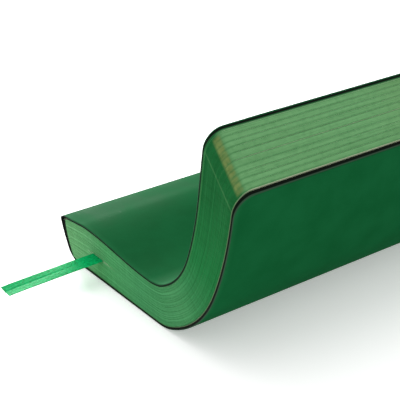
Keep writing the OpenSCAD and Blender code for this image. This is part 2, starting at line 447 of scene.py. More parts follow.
@dataclass
class Wiring:
    """Places and joins the nodes of one material or node group."""

    tree: Tree

    def add(self, kind: str, **settings: object) -> Node:
        """Adds a node of a kind and gives it its settings."""
        node = self.tree.nodes.new(kind)
        for name, value in settings.items():
            setattr(node, name, value)
        return node

    def feed(self, socket: Socket, value: Feed) -> None:
        """Joins a socket to a socket, or gives it a plain value."""
        if isinstance(value, Socket):
            self.tree.links.new(value, socket)
        elif isinstance(value, tuple) and socket.type == "RGBA":
            socket.default_value = (*value, 1.0)
        else:
            socket.default_value = value

    def sum(self, operation: str, a: Feed, b: Feed = 0.0, c: Feed = 0.0) -> Socket:
        """The result of a Math node."""
        node = self.add("ShaderNodeMath", operation=operation)
        for socket, value in zip(node.inputs, (a, b, c)):
            self.feed(socket, value)
        return node.outputs[0]

    def span(
        self, value: Feed, low: float, high: float, to: tuple[float, float] = (0, 1)
    ) -> Socket:
        """Maps a value from low..high onto another range, smoothly and clamped."""
        node = self.add("ShaderNodeMapRange", interpolation_type="SMOOTHSTEP")
        for n, part in enumerate((value, low, high, *to)):
            self.feed(node.inputs[n], part)
        return node.outputs[0]

    def band(self, value: Feed, low: float, high: float, soft: float) -> Socket:
        """A mask that is 1 between low and high, and fades over a soft length."""
        rise = self.span(value, low - soft, low)
        fall = self.span(value, high, high + soft, (1, 0))
        return self.sum("MULTIPLY", rise, fall)

    def mix(self, share: Feed, a: Feed, b: Feed, blend: str = "MIX") -> Socket:
        """A colour between two colours."""
        node = self.add("ShaderNodeMix", data_type="RGBA", blend_type=blend)
        self.feed(node.inputs[0], share)
        self.feed(node.inputs[6], a)
        self.feed(node.inputs[7], b)
        return node.outputs[2]

    def noise(
        self, place: Socket, scale: float, detail: float = 3.0, rough: float = 0.55
    ) -> Socket:
        """A noise pattern between 0 and 1."""
        node = self.add("ShaderNodeTexNoise")
        self.feed(node.inputs["Vector"], place)
        self.feed(node.inputs["Scale"], scale)
        self.feed(node.inputs["Detail"], detail)
        self.feed(node.inputs["Roughness"], rough)
        return node.outputs[0]

    def stretch(self, place: Socket, scale: Colour) -> Socket:
        """A place stretched by a scale along each axis."""
        node = self.add("ShaderNodeMapping")
        self.feed(node.inputs["Vector"], place)
        self.feed(node.inputs["Scale"], scale)
        return node.outputs[0]

    def kept(self, name: str) -> Socket:
        """The vector that the piece keeps on its points."""
        return self.add("ShaderNodeAttribute", attribute_name=name).outputs["Vector"]

    def parts(self, place: Socket) -> tuple[Socket, Socket, Socket]:
        """The three numbers of a vector."""
        node = self.add("ShaderNodeSeparateXYZ")
        self.feed(node.inputs[0], place)
        return node.outputs[0], node.outputs[1], node.outputs[2]

    def bump(self, height: Socket, strength: float, distance: float) -> Socket:
        """A normal bumped by a height."""
        node = self.add("ShaderNodeBump")
        self.feed(node.inputs["Strength"], strength)
        self.feed(node.inputs["Distance"], distance)
        self.feed(node.inputs["Height"], height)
        return node.outputs[0]

    def ramp(self, share: Socket, stops: tuple[tuple[float, Colour], ...]) -> Socket:
        """A colour from a row of stops."""
        node = self.add("ShaderNodeValToRGB")
        band = node.color_ramp
        while len(band.elements) < len(stops):
            band.elements.new(0.5)
        for element, (place, colour) in zip(band.elements, stops):
            element.position = place
            element.color = (*colour, 1.0)
        self.feed(node.inputs[0], share)
        return node.outputs[0]

    def use(self, group: Tree, **values: Feed) -> Node:
        """Places a node group and feeds its named inputs."""
        node = self.add("ShaderNodeGroup", node_tree=group)
        for name, value in values.items():
            self.feed(node.inputs[name], value)
        return node


def open_group(
    name: str, inputs: dict[str, float], outputs: tuple[str, ...]
) -> tuple[Wiring, dict[str, Socket]]:
    """Starts a node group.

    Args:
        name: name of the group.
        inputs: its number inputs and their defaults, after a "Place" vector.
        outputs: its number outputs.
    Returns:
        The group's wiring, and its input sockets by name.
    """
    tree = bpy.data.node_groups.new(name, "ShaderNodeTree")
    tree.interface.new_socket("Place", in_out="INPUT", socket_type="NodeSocketVector")
    for label, value in inputs.items():
        socket = tree.interface.new_socket(label, in_out="INPUT", socket_type="NodeSocketFloat")
        socket.default_value = value
    for label in outputs:
        tree.interface.new_socket(label, in_out="OUTPUT", socket_type="NodeSocketFloat")
    wiring = Wiring(tree)
    entry = wiring.add("NodeGroupInput")
    return wiring, {socket.name: socket for socket in entry.outputs if socket.name}


def close_group(wiring: Wiring, **results: Socket) -> Tree:
    """Joins a group's results to its outputs and returns the group."""
    end = wiring.add("NodeGroupOutput")
    for name, socket in results.items():
        wiring.feed(end.inputs[name], socket)
    return wiring.tree


def make_grain() -> Tree:
    """Fine grain of the cover's coating: a height and a faint shade."""
    w, sockets = open_group("fine_grain", {"Size": 0.35}, ("Height", "Shade"))
    scale = w.sum("DIVIDE", 1.0, sockets["Size"])
    cells = w.add("ShaderNodeTexVoronoi", feature="SMOOTH_F1")
    w.feed(cells.inputs["Vector"], sockets["Place"])
    w.feed(cells.inputs["Scale"], scale)
    w.feed(cells.inputs["Smoothness"], 0.6)
    fine = w.noise(sockets["Place"], 5.0, 4.0)
    wide = w.noise(sockets["Place"], 0.09, 3.0)
    height = w.sum("MULTIPLY_ADD", fine, 0.35, cells.outputs["Distance"])
    shade = w.sum("MULTIPLY_ADD", cells.outputs["Distance"], 0.25, wide)
    return close_group(w, Height=height, Shade=shade)


def make_leaves() -> Tree:
    """Cut edges of stacked leaves: thin lines along them, and dye marks across them."""
    w, sockets = open_group("leaf_edges", {"Pitch": 0.1}, ("Lines", "Marks", "Height"))
    place = sockets["Place"]
    thin = w.noise(w.stretch(place, (0.02, 0.02, 4.0)), 1.6, 4.0, 0.7)
    broad = w.noise(w.stretch(place, (0.012, 0.012, 0.9)), 1.3, 2.0)
    lines = w.sum("MULTIPLY_ADD", broad, 0.6, w.sum("MULTIPLY", thin, 0.6))
    marks = w.noise(w.stretch(place, (0.9, 0.55, 0.10)), 1.0, 4.0, 0.65)
    depth = w.parts(place)[2]
    wave = w.sum("SINE", w.sum("MULTIPLY", w.sum("DIVIDE", depth, sockets["Pitch"]), math.tau))
    height = w.sum("MULTIPLY_ADD", wave, 0.3, w.sum("MULTIPLY", thin, 0.7))
    return close_group(w, Lines=lines, Marks=marks, Height=height)


def make_weave() -> Tree:
    """Plain weave: ribs across and threads along, as a height and a shade."""
    w, sockets = open_group("plain_weave", {"Across": 0.45, "Along": 0.3}, ("Height", "Shade"))
    x, y, _ = w.parts(sockets["Place"])
    ribs = w.sum("SINE", w.sum("MULTIPLY", w.sum("DIVIDE", y, sockets["Across"]), math.tau))
    threads = w.sum("SINE", w.sum("MULTIPLY", w.sum("DIVIDE", x, sockets["Along"]), math.tau))
    cross = w.sum("MULTIPLY", ribs, threads)
    fuzz = w.noise(sockets["Place"], 3.0, 4.0, 0.7)
    height = w.sum("MULTIPLY_ADD", ribs, 0.3, w.sum("MULTIPLY_ADD", cross, 0.2, fuzz))
    shade = w.sum("MULTIPLY_ADD", cross, 0.18, w.sum("MULTIPLY_ADD", ribs, 0.12, fuzz))
    return close_group(w, Height=height, Shade=shade)


@dataclass(frozen=True)
class Finish:
    """What every finish has: a name, two tones and a roughness."""

    name: str
    tone: Colour
    second: Colour
    roughness: float = 0.6
    specular: float = 0.06

    def start(self) -> tuple[Material, Wiring, Node]:
        """Makes the material with its shader.

        Returns:
            The material, its wiring and its shader node.
        """
        material = bpy.data.materials.new(self.name)
        material.use_nodes = True
        wiring = Wiring(material.node_tree)
        shader = material.node_tree.nodes["Principled BSDF"]
        shader.inputs["Roughness"].default_value = self.roughness
        shader.inputs["Specular IOR Level"].default_value = self.specular
        return material, wiring, shader


@dataclass(frozen=True)
class CoverCoating(Finish):
    """Matte coated cover material with a very fine grain."""

    grain_size: float = 0.32
    grain_depth: float = 0.05

    def make(self, grain: Tree) -> Material:
        """Makes the coating: grain in its bump, cloudy tone, rubbed edges."""
        material, w, shader = self.start()
        place = w.kept("flat")
        grained = w.use(grain, Place=place, Size=self.grain_size)
        tone = w.mix(w.span(grained.outputs["Shade"], 0.35, 0.85), self.tone, self.second)
        corner, along, _ = w.parts(w.kept("rim"))
        near_end = w.sum("ABSOLUTE", w.sum("SUBTRACT", along, 0.5))
        worn = w.sum("MULTIPLY", w.span(near_end, 0.49, 0.5), w.noise(place, 0.6, 3.0))
        rubbed = tuple(min(1.0, 1.6 * part + 0.01) for part in self.tone)
        tone = w.mix(w.sum("MULTIPLY", worn, 0.5), tone, rubbed)
        w.feed(shader.inputs["Base Color"], tone)
        rougher = (self.roughness - 0.05, self.roughness + 0.06)
        rough = w.span(grained.outputs["Shade"], 0.3, 0.9, rougher)
        w.feed(shader.inputs["Roughness"], rough)
        bumped = w.bump(grained.outputs["Height"], 0.35, self.grain_depth * MM)
        w.feed(shader.inputs["Normal"], bumped)
        return material


@dataclass(frozen=True)
class SkinRim(Finish):
    """Cut edge of the cover's skin: the coating outside, black backing inside."""

    coat_levels: float = 1.0
    spine_u: float = 1.2

    def make(self, grain: Tree) -> Material:
        """Makes the cut edge; on the spine the black backing shows right across it."""
        material, w, shader = self.start()
        place = w.kept("flat")
        level = w.parts(w.kept("rim"))[2]
        inside = w.span(level, self.coat_levels - 0.3, self.coat_levels + 0.3)
        at_spine = w.span(w.parts(place)[0], self.spine_u, self.spine_u + 2.5, (1, 0))
        backing = w.sum("MAXIMUM", inside, at_spine)
        w.feed(shader.inputs["Base Color"], w.mix(backing, self.tone, self.second))
        height = w.use(grain, Place=place, Size=0.3).outputs["Height"]
        w.feed(shader.inputs["Normal"], w.bump(height, 0.3, 0.04 * MM))
        return material


@dataclass(frozen=True)
class EndpaperEdge(Finish):
    """Cut edge of the back endpaper: dyed on the flat part, greyish on the raised part."""

    flat_to: float = 55.0
    raised_from: float = 85.0

    def make(self) -> Material:
        """Makes the edge, whose dye thins out along the bend."""
        material, w, shader = self.start()
        place = w.kept("flat")
        fibres = w.noise(w.stretch(place, (0.3, 0.3, 2.0)), 1.5, 4.0)
        raised = w.span(w.parts(place)[0], self.flat_to, self.raised_from)
        w.feed(shader.inputs["Base Color"], w.mix(raised, self.tone, self.second))
        w.feed(shader.inputs["Normal"], w.bump(fibres, 0.2, 0.03 * MM))
        return material


@dataclass(frozen=True)
class CutCore(Finish):
    """Fibrous core that shows where a sheet is cut, coloured up to a level next to the pages in a
    darker green that is partly edge dye and partly painted shade between cover and block.
    """

    # Darker green beside the pages: partly edge dye, partly painted shade between cover and block.
    dye: Colour = (0.02, 0.1, 0.035)
    dye_and_shade_to: float = -1.0
    fibre: float = 2.0

    def make(self) -> Material:
        """Makes the core: fine fibres in its tone and bump, and beside the pages a darker green,
        partly dye and partly painted shade.
        """
        material, w, shader = self.start()
        place = w.stretch(w.kept("flat"), (0.3, 0.3, 2.0))
        fibres = w.noise(place, self.fibre, 5.0, 0.7)
        level = w.parts(w.kept("rim"))[2]
        tone = w.mix(w.span(fibres, 0.35, 0.7), self.tone, self.second)
        # Partly dye, partly painted shade between cover and block, up to a level.
        dyed = w.span(level, self.dye_and_shade_to - 0.2, self.dye_and_shade_to + 0.2, (1, 0))
        w.feed(shader.inputs["Base Color"], w.mix(dyed, tone, self.dye))
        w.feed(shader.inputs["Normal"], w.bump(fibres, 0.3, 0.05 * MM))
        return material


@dataclass(frozen=True)
class Paper(Finish):
    """Uncoated paper, with a little of the edge dye drawn in along its rim."""

    dye: Colour = (0.1, 0.35, 0.12)
    half_height: float = 105.0

    def make(self) -> Material:
        """Makes the paper: fibre mottle, and dye that fades from the edges inwards."""
        material, w, shader = self.start()
        place = w.kept("flat")
        fibres = w.noise(place, 1.5, 5.0, 0.7)
        tone = w.mix(w.span(fibres, 0.35, 0.7), self.tone, self.second)
        along = w.parts(place)[1]
        ragged = w.sum("MULTIPLY_ADD", w.noise(place, 0.8, 4.0), 0.5, w.sum("ABSOLUTE", along))
        edge = w.span(ragged, self.half_height - 0.2, self.half_height + 0.3)
        off_middle = w.sum("ABSOLUTE", w.sum("SUBTRACT", w.parts(w.kept("rim"))[1], 0.5))
        edge = w.sum("MAXIMUM", edge, w.span(off_middle, 0.4985, 0.4993))
        w.feed(shader.inputs["Base Color"], w.mix(edge, tone, self.dye))
        w.feed(shader.inputs["Normal"], w.bump(fibres, 0.15, 0.03 * MM))
        return material


@dataclass(frozen=True)
class DyedEdge(Finish):
    """Cut page edges under a brushed green dye, with painted light and shade along the foot; the
    second tone is near-black painted shade on the folds next to the spine.
    """

    fore: Colour = (0.155, 0.365, 0.155)
    fore_far: Colour = (0.165, 0.285, 0.11)
    crest: Colour = (0.2, 0.27, 0.085)
    pale: Colour = (0.5, 0.7, 0.5)
    ramp_u: float = 148.0
    leaf_pitch: float = 0.096
    gathering: float = 1.15
    first_fold: float = 1.5
    middle: float = 8.3
    opening: float = 0.5
    thickness: float = 16.6
    bow: float = 0.8
    spine_shade_depth: float = 1.9
    slit: tuple[float, float, float] = (14.0, 25.0, 33.0)
    half_height: float = 105.0
    fades_over: tuple[float, float] = (-60.0, 15.0)
    score_share: float = 0.22
    line_share: float = 0.35
    mark_share: float = 0.7
    # Green along the foot, lighter near the spine and darker up the rising wall: the dye with painted
    # light and shade.
    foot: tuple[tuple[float, Colour], ...] = ()

    def make(self, leaves: Tree) -> Material:
        """Makes the dyed edge from its leaf lines, painted shade between signatures, corner bands and
        slit, with painted light and shade along the foot and painted shade next to the spine.
        """
        material, w, shader = self.start()
        place = w.kept("flat")
        u, y, d = w.parts(place)
        corner = w.parts(w.kept("rim"))[0]
        edges = w.use(leaves, Place=place, Pitch=self.leaf_pitch)
        # Painted light and shade: the foot's green is lighter near the spine and darker up the rising
        # wall.
        tone = w.ramp(w.sum("DIVIDE", u, self.ramp_u), self.foot)
        far = w.mix(w.span(y, *self.fades_over), self.fore, self.fore_far)
        tone = w.mix(w.span(corner, 0.55, 0.9), tone, far)
        score = w.sum("MULTIPLY", w.band(corner, 0.03, 0.07, 0.03), self.score_share)
        tone = w.mix(score, tone, self.fore)
        tone = w.mix(self.crest_mask(w, corner, d), tone, self.crest)
        # Painted shade in the gaps between signatures, in the edge's first tone.
        gap_shade = w.sum("MULTIPLY", self.signature_gap_shade(w, place, d), w.span(corner, 0.3, 0.9, (0.12, 0.42)))
        tone = w.mix(gap_shade, tone, self.tone)
        lines = w.span(edges.outputs["Lines"], 0.35, 0.85)
        darker = w.mix(1.0, tone, (0.62, 0.7, 0.6), "MULTIPLY")
        tone = w.mix(w.sum("MULTIPLY", lines, self.line_share), tone, darker)
        marks = w.span(edges.outputs["Marks"], 0.4, 0.75)
        darker = w.mix(1.0, tone, (0.72, 0.8, 0.74), "MULTIPLY")
        tone = w.mix(w.sum("MULTIPLY", marks, self.mark_share), tone, darker)
        tone = w.mix(self.slit_mask(w, u, y, d), tone, self.pale)
        # Painted shade: the folds next to the spine go near black.
        tone = w.mix(self.spine_shade_mask(w, u, d), tone, self.second)
        w.feed(shader.inputs["Base Color"], tone)
        w.feed(shader.inputs["Normal"], w.bump(edges.outputs["Height"], 0.35, 0.04 * MM))
        return material

    def spine_shade_mask(self, w: Wiring, u: Socket, d: Socket) -> Socket:
        """Painted shade: where the folds next to the spine are darkened to near black, standing in for
        the dark gap at the spine.
        """
        off = w.sum("SUBTRACT", w.sum("DIVIDE", d, self.thickness / 2), 1.0)
        squared = w.sum("MULTIPLY", off, off)
        bowed = w.sum("MULTIPLY_ADD", squared, -self.bow, w.sum("ADD", u, self.bow))
        return w.span(bowed, self.spine_shade_depth - 0.25, self.spine_shade_depth + 0.15, (1, 0))

    def crest_mask(self, w: Wiring, corner: Socket, d: Socket) -> Socket:
        """Where the dye is rubbed thin on the rounded corners."""
        blotch = w.noise(w.stretch(w.kept("flat"), (0.3, 0.3, 0.5)), 1.0, 3.0)
        rubbed = w.span(blotch, 0.2, 0.55, (0.35, 0.95))
        mask = w.sum("MULTIPLY", w.band(corner, 0.57, 0.68, 0.13), rubbed)
        return w.sum("MULTIPLY", mask, w.band(d, 2.5, 14.0, 1.2))

    def signature_gap_shade(self, w: Wiring, place: Socket, d: Socket) -> Socket:
        """Painted shade: darker lines in the gaps where one signature meets the next."""
        sway = w.noise(w.stretch(place, (0.01, 0.03, 0.4)), 1.0, 2.0)
        past = w.sum("MULTIPLY", w.sum("GREATER_THAN", d, self.middle), self.opening)
        depth = w.sum("ADD", w.sum("SUBTRACT", d, past), w.sum("MULTIPLY_ADD", sway, 0.2, -0.1))
        turn = w.sum("DIVIDE", w.sum("SUBTRACT", depth, self.first_fold), self.gathering)
        near = w.sum("ABSOLUTE", w.sum("SUBTRACT", w.sum("FRACT", w.sum("ADD", turn, 0.5)), 0.5))
        faint = w.noise(w.stretch(place, (0.03, 0.03, 0.8)), 1.0, 2.0)
        return w.sum("MULTIPLY", w.span(near, 0.0, 0.3, (1, 0)), w.span(faint, 0.1, 0.6, (0.55, 1)))

    def slit_mask(self, w: Wiring, u: Socket, y: Socket, d: Socket) -> Socket:
        """Where the leaves that part around the ribbon show undyed paper at the foot."""
        off = w.sum("ABSOLUTE", w.sum("SUBTRACT", d, self.middle))
        near = w.span(off, 0.2, 0.42, (1, 0))
        begins, fades_from, ends = self.slit
        far = w.span(u, fades_from, ends, (1, 0))
        fade = w.sum("MULTIPLY", w.span(u, begins - 1.5, begins), far)
        at_foot = w.span(y, -self.half_height + 1.0, -self.half_height + 2.0, (1, 0))
        return w.sum("MULTIPLY", w.sum("MULTIPLY", near, fade), at_foot)


@dataclass(frozen=True)
class WovenCloth(Finish):
    """Woven cloth: the ribbon, and the gauze on the folds."""

    across: float = 0.45
    along: float = 0.3
    depth: float = 0.05

    def make(self, weave: Tree) -> Material:
        """Makes the cloth from its ribs and threads."""
        material, w, shader = self.start()
        cloth = w.use(weave, Place=w.kept("flat"), Across=self.across, Along=self.along)
        flecks = w.noise(w.stretch(w.kept("flat"), (1.6, 0.7, 0.5)), 1.3, 3.0, 0.7)
        shade = w.sum("MULTIPLY_ADD", w.sum("SUBTRACT", flecks, 0.5), 1.5, cloth.outputs["Shade"])
        tone = w.mix(w.span(shade, 0.1, 0.95), self.tone, self.second)
        w.feed(shader.inputs["Base Color"], tone)
        w.feed(shader.inputs["Normal"], w.bump(cloth.outputs["Height"], 0.5, self.depth * MM))
        return material


@dataclass(frozen=True)
class Thread(Finish):
    """Waxed thread of two twisted plies, patterned in the object's own space."""

    twist: float = 900.0

    def make(self) -> Material:
        """Makes the thread: slanting plies in its tone and bump."""
        material, w, shader = self.start()
        place = w.add("ShaderNodeTexCoord").outputs["Object"]
        x, y, z = w.parts(place)
        slant = w.sum("ADD", y, w.sum("ADD", x, z))
        plies = w.sum("SINE", w.sum("MULTIPLY", slant, self.twist * math.tau))
        fuzz = w.noise(place, 2500.0, 3.0)
        shade = w.sum("MULTIPLY_ADD", plies, 0.25, fuzz)
        w.feed(shader.inputs["Base Color"], w.mix(w.span(shade, 0.2, 0.8), self.tone, self.second))
        w.feed(shader.inputs["Normal"], w.bump(shade, 0.4, 0.05 * MM))
        return material


class Paints:
    """All the notebook's finishes, made once and shared by its pieces."""

    def __init__(self, shape: BookShape) -> None:
        """Makes the node groups and then the materials."""
        grain, leaves, weave = make_grain(), make_leaves(), make_weave()
        self.cover = CoverCoating(
            "cover_coating", (0.004, 0.077, 0.022), (0.006, 0.091, 0.028), 0.6, specular=0.0015
        ).make(grain)
        black = (0.0012, 0.003, 0.0015)
        self.front_rim = SkinRim(
            "front_cut_edge", (0.006, 0.09, 0.028), black, 0.6, coat_levels=2.3
        ).make(grain)
        self.back_rim = SkinRim(
            "back_cut_edge", (0.024, 0.062, 0.034), black, 0.7, coat_levels=2.2
        ).make(grain)
        self.core = CutCore("black_core", black, (0.003, 0.006, 0.003), 0.85).make()
        # Front board's rim: darker green beside the pages, partly dye and partly painted shade between
        # cover and block.
        self.dye_and_shade_core = CutCore(
            "dye_and_shade_core", black, (0.004, 0.009, 0.004), 0.85, dye_and_shade_to=1.1
        ).make()
        self.paper = Paper("page_paper", (0.62, 0.66, 0.5), (0.7, 0.72, 0.58), 0.8).make()
        self.endpaper_edge = EndpaperEdge(
            "endpaper_cut_edge", (0.03, 0.12, 0.04), (0.13, 0.17, 0.1), 0.8
        ).make()
        self.endpaper = Paper("endpaper", (0.6, 0.62, 0.46), (0.68, 0.7, 0.55), 0.8).make()
        self.edges = DyedEdge(
            "dyed_page_edges_with_painted_shade",
            # First tone: painted shade in the gaps between signatures.
            (0.05, 0.2, 0.07),
            # Second tone: near-black painted shade on the folds next to the spine.
            (0.001, 0.003, 0.0015),
            0.75,
            middle=shape.middle,
            opening=shape.ribbon_gap,
            thickness=shape.spine_t,
            bow=shape.spine_bow,
            gathering=shape.gathering_t,
            first_fold=shape.rear_from,
            # Foot: painted light near the spine and painted shade up the rising wall, over the dye's
            # green.
            foot=(
                (0.0, (0.17, 0.43, 0.19)),
                (0.10, (0.13, 0.39, 0.165)),
                (0.18, (0.085, 0.36, 0.135)),
                (0.32, (0.078, 0.34, 0.135)),
                (0.52, (0.075, 0.31, 0.12)),
                (0.61, (0.036, 0.235, 0.078)),
                (0.70, (0.014, 0.19, 0.05)),
                (0.9, (0.011, 0.135, 0.035)),
            ),
        ).make(leaves)
        self.ribbon = WovenCloth(
            "ribbon_weave", (0.0, 0.15, 0.033), (0.006, 0.58, 0.18), 0.5, specular=0.008
        ).make(weave)
        self.gauze = WovenCloth(
            "spine_gauze", (0.5, 0.5, 0.4), (0.75, 0.75, 0.65), 0.85, across=1.1, along=1.1
        ).make(weave)
        self.thread = Thread("waxed_thread", (0.5, 0.5, 0.42), (0.8, 0.8, 0.7), 0.6).make()


def dress(piece: Piece, low: Material, high: Material, edge: Material) -> None:
    """Gives a layer the materials of its low side, its high side and its edges."""
    for material in (low, high, edge):
        piece.data.materials.append(material)


# ---------------------------------------------------------------- the pieces


@dataclass
class Covers:
    """The cover: coated skin round the whole book, flexible boards and pasted endpapers."""

    shape: BookShape
    paints: Paints
    low_seam: float = 5.8
    high_seam: float = 11.2
    board_from: float = 4.4
    pitch: float = 1.2
    edge_round: float = 0.16
    turn_len: float = 1.0
    front_recess: float = 0.45
    front_board_from: float = 2.4

    def build(self) -> None:
        """Builds the skin's three lengths, the boards and the pasted endpapers."""
        self.skins()
        shape = self.shape
        top, skin, inner = shape.spine_t, shape.skin_t, shape.cover_t
        core = skin + shape.board_t
        for name, low, high, body, node, slot in (
            ("back_board", skin, core, "back_cover", "back_cover_board", "cover_board"),
            ("front_board", top - core, top - skin, "front_cover", "front_cover_board", "cover_board"),
            ("back_endpaper", core, inner, "back_cover", "back_pastedown", "endpaper"),
            ("front_endpaper", top - inner, top - core, "front_cover", "front_pastedown", "endpaper"),
        ):
            self.sheet(name, low, high, body, node, slot)

    def skin_levels(self) -> Path:
        """Levels through the skin from its outside, and how far each is rounded in."""
        levels = np.array([0.0, 0.25, 0.6, 1.0]) * self.shape.skin_t
        insets = np.array([1.0, 0.25, 0.0, 0.0]) * self.edge_round
        return levels, insets

    def wrap_section(self, r: float, front: bool) -> Section:
        """The skin's path: along the spine, round the edge of a cover and along it.

        Args:
            r: radius of the round edge between the spine and the cover.
            front: whether the cover is the front one.
        Returns:
            The path.
        """
        shape = self.shape
        way = 1 if front else -1
        middle = shape.spine_t - r if front else r

        def section(v: Array, inset: Array) -> Path:
            """A place of the skin."""
            angle = math.pi / 2 + np.clip((r - v) / r, 0, math.pi / 2)
            past = np.maximum(0, r - r * math.pi / 2 - v)
            u = np.where(v >= r, v, r + (r - inset) * np.cos(angle))
            d = middle + way * ((r - inset) * np.sin(angle) - past)
            u = u - shape.bow(d) * (1 - ease((v - r) / shape.lean_len))
            return np.where(v >= r, shape.slid(u, d), u), d

        return section

    def skin_columns(self, r: float, spine_part: float, recess: float) -> Path:
        """Columns of a skin: its part on the spine, the round edge, and the cover."""
        arc_end = r - r * math.pi / 2
        spine = np.linspace(arc_end - spine_part, arc_end, 5)[:-1]
        arc = np.linspace(arc_end, r, 10)[:-1]
        page, corner = stations(self.shape, r, self.pitch, recess)
        columns = np.concatenate((spine, arc, page))
        return columns, np.concatenate((np.zeros(len(spine) + len(arc)), corner))

    def wrap(
        self, name: str, columns: Array, corner: Array, section: Section,
        rim: Material, joint: str, reach: Vector, bodies: tuple[str, str], *nodes: str,
    ) -> None:
        """Builds a length of the skin, and looks up the joint at which the skin bends.

        Args:
            name: name of the piece.
            columns: its columns.
            corner: the corner angle of each column.
            section: its path.
            rim: material of its cut edge.
            joint: the joint at which it bends.
            reach: the way in which it passes the joint's axis.
            bodies: the bodies that carry its two ends; not used.
            nodes: the nodes that it replaces.
        """
        levels, insets = self.skin_levels()
        piece = Layer(name, self.shape, columns, corner, levels, section, insets=insets).build()
        dress(piece, self.paints.cover, self.paints.core, rim)
        found = next(j for j in frame["record"]["behaviour"]["joints"] if j["name"] == joint)
        place, reach = Vector(found["pos_m"]), reach * self.turn_len * MM
        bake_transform(piece)
        hand_over(piece, "cover_skin", *nodes)

    def skins(self) -> None:
        """Builds the skin: front cover, back cover and the middle of the spine."""
        shape, paints = self.shape, self.paints
        front_r, back_r = shape.front_edge_r, shape.back_edge_r
        front_spine = shape.spine_t - front_r - self.high_seam
        lean = math.radians(shape.spine_lean)
        self.wrap(
            "front_cover_wrap", *self.skin_columns(front_r, front_spine, self.front_recess),
            self.wrap_section(front_r, True), paints.front_rim, "front_cover_opening",
            Vector((1, 0, 0)), ("front_block", "front_cover"),
            "front_cover_skin", "front_spine_skin",
        )
        self.wrap(
            "back_cover_wrap", *self.skin_columns(back_r, self.low_seam - back_r, 0.0),
            self.wrap_section(back_r, False), paints.back_rim, "back_cover_opening",
            Vector((1, 0, -1)).normalized(), ("rear_block", "back_cover"), "back_cover_skin",
        )
        columns = np.linspace(self.low_seam, self.high_seam, 17)
        self.wrap(
            "spine_wrap", columns, np.zeros(len(columns)), spine_section(shape), paints.back_rim,
            "middle_opening", Vector((-math.sin(lean), 0, math.cos(lean))),
            ("rear_block", "front_block"), "rear_spine_skin",
        )

    def sheet(self, name: str, low: float, high: float, body: str, node: str, slot: str) -> None:
        """Builds a flat sheet of the cover between two depths.

        Args:
            name: name of the piece.
            low: depth of its lower side.
            high: depth of its upper side.
            body: the body it rides on.
            node: the node it stands for.
            slot: its material slot in the record.
        """
        front = body == "front_cover"
        start = self.front_board_from if front else self.board_from
        recess = self.front_recess if front else 0.0
        columns, corner = stations(self.shape, start, self.pitch, recess)
        levels = np.linspace(low, high, 4)
        insets = np.array([0.06, 0.0, 0.0, 0.06]) * (high - low)
        section = sliding_section(self.shape)
        piece = Layer(name, self.shape, columns, corner, levels, section, insets=insets).build()
        paints = self.paints
        if slot == "cover_board":
            dress(piece, paints.core, paints.core, paints.dye_and_shade_core if front else paints.core)
        else:
            edge = paints.edges if front else paints.endpaper_edge
            dress(piece, paints.endpaper, paints.endpaper, edge)
        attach(piece, body)
        hand_over(piece, slot, node)


